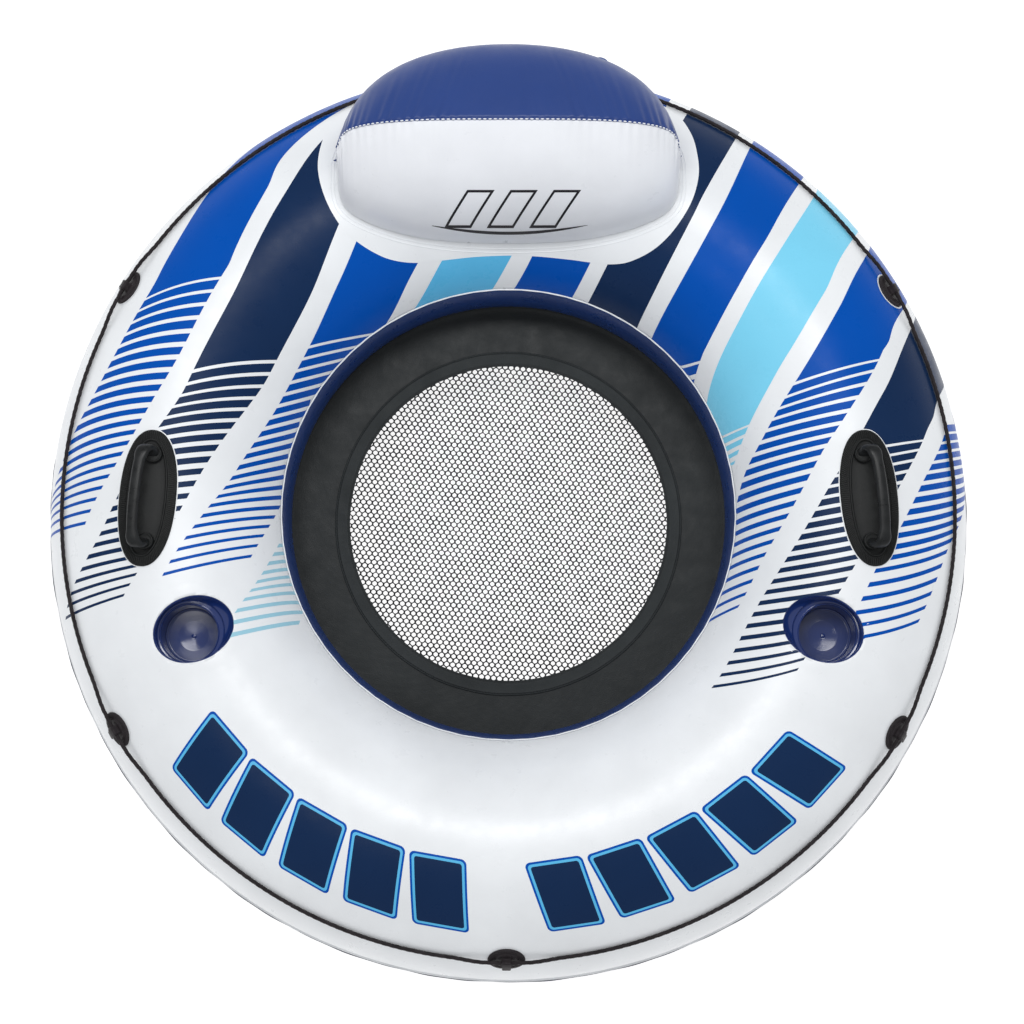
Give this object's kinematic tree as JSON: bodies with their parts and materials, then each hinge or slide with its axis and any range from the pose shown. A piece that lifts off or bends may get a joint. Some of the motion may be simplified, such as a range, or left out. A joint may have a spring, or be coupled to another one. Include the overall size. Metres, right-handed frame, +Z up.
{
  "type": "river tube",
  "caption": "Inflatable ring to sit in on water, with a backrest pillow, mesh seat floor, cup holders, moulded handles and a grab rope.",
  "frame": {"origin": "on the ring's axis, at the level the ring rests on", "axes": "+Z up along the ring's axis, +Y towards the backrest pillow, +X to the right with the backrest at the top"},
  "size_m": [1.35, 1.35, 0.497],
  "materials": {
    "printed_vinyl": "satin",
    "blue_vinyl": "satin",
    "navy_vinyl": "satin",
    "black_vinyl": "satin",
    "black_tape": "matte",
    "black_net": "matte",
    "cup_vinyl": "gloss",
    "handle_rubber": "satin",
    "grip_rubber": "satin",
    "rope_braid": "matte",
    "retainer_rubber": "satin",
    "pillow_white_vinyl": "satin",
    "pillow_blue_vinyl": "satin",
    "valve_plastic": "satin"
  },
  "bodies": {
    "tube": {"ring_top_skin": "printed_vinyl", "ring_inner_wall": "blue_vinyl", "ring_bottom_skin": "navy_vinyl", "floor_collar": "black_vinyl", "mesh_binding": "black_tape", "seat_mesh": "black_net", "cup_holder_left": "cup_vinyl", "cup_holder_right": "cup_vinyl", "handle_base_left": "handle_rubber", "handle_base_right": "handle_rubber", "handle_grip_left": "grip_rubber", "handle_grip_right": "grip_rubber", "grab_rope": "rope_braid", "rope_retainer_1": "retainer_rubber", "rope_retainer_2": "retainer_rubber", "rope_retainer_3": "retainer_rubber", "rope_retainer_4": "retainer_rubber", "rope_retainer_5": "retainer_rubber", "rope_retainer_6": "retainer_rubber", "pillow_front_panel": "pillow_white_vinyl", "pillow_back_panel": "pillow_blue_vinyl", "ring_valve_base": "valve_plastic", "pillow_valve_base": "valve_plastic"},
    "ring_valve_stem": {"ring_valve_stem": "valve_plastic"},
    "ring_valve_plug": {"ring_valve_plug": "valve_plastic"},
    "pillow_valve_stem": {"pillow_valve_stem": "valve_plastic"},
    "pillow_valve_plug": {"pillow_valve_plug": "valve_plastic"}
  },
  "joints": [
    {"name": "ring_valve_pull_out", "type": "slide", "parent": "tube", "child": "ring_valve_stem", "axis": [-0.2156, 0.8645, -0.454], "range_m": [0, 0.012]},
    {"name": "ring_valve_plug_hinge", "type": "hinge", "parent": "ring_valve_stem", "child": "ring_valve_plug", "pos_m": [-0.17124, 0.63388, 0.08749], "axis": [-0.1098, 0.4405, 0.891], "range_deg": [0, 150]},
    {"name": "pillow_valve_pull_out", "type": "slide", "parent": "tube", "child": "pillow_valve_stem", "axis": [0.3183, 0.9405, -0.1193], "range_m": [0, 0.012]},
    {"name": "pillow_valve_plug_hinge", "type": "hinge", "parent": "pillow_valve_stem", "child": "pillow_valve_plug", "pos_m": [0.14467, 0.621, 0.3801], "axis": [-0.1236, -0.0836, -0.9888], "range_deg": [0, 150]}
  ]
}
